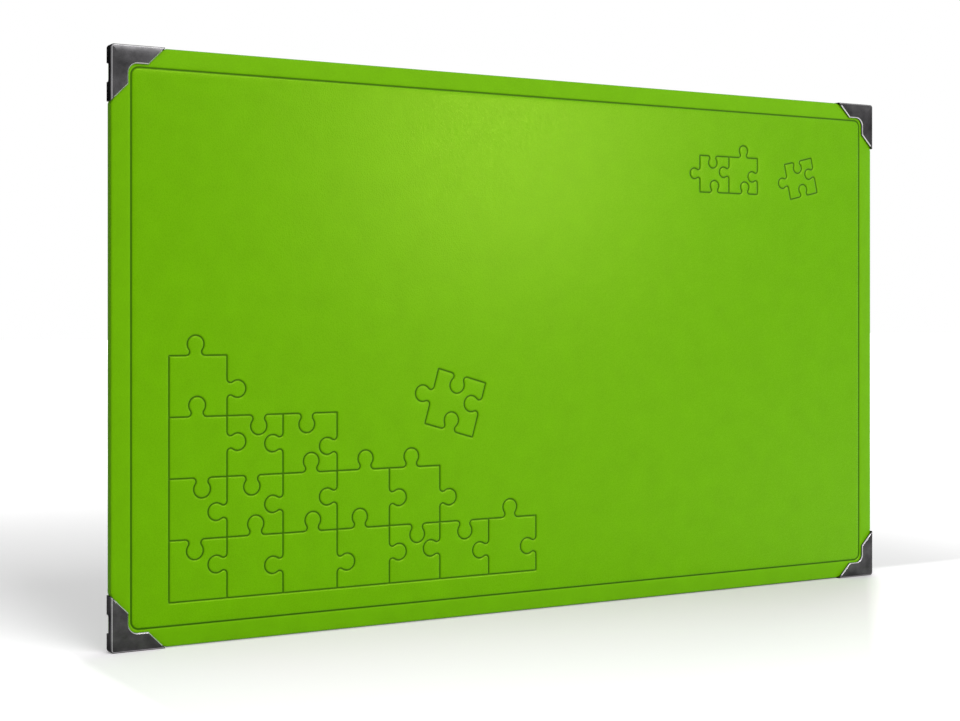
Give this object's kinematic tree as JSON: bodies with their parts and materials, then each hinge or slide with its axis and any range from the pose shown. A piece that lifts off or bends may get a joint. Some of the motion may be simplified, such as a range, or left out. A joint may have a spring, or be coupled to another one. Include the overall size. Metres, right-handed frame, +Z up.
{
  "type": "jigsaw puzzle board",
  "caption": "Thin stiff board for laying out a jigsaw puzzle: green leatherette with a pressed border and picture, felt back, metal corner guards.",
  "frame": {"origin": "middle of the board's length and thickness, on the surface that it stands on", "axes": "+X along the long side, to the right seen from the leatherette front; +Y from the leatherette front to the felt back; +Z up"},
  "size_m": [0.5008, 0.0082, 0.3008],
  "materials": {
    "core": "matte",
    "padding": "matte",
    "leatherette": "satin",
    "card": "matte",
    "felt": "matte",
    "guard": "polished"
  },
  "bodies": {
    "root": {"core_panel": "core", "front_padding": "padding", "leatherette_cover": "leatherette", "back_infill_card": "card", "felt_work_surface": "felt", "corner_guard_bottom_left": "guard", "corner_guard_bottom_right": "guard", "corner_guard_top_left": "guard", "corner_guard_top_right": "guard"}
  },
  "joints": []
}
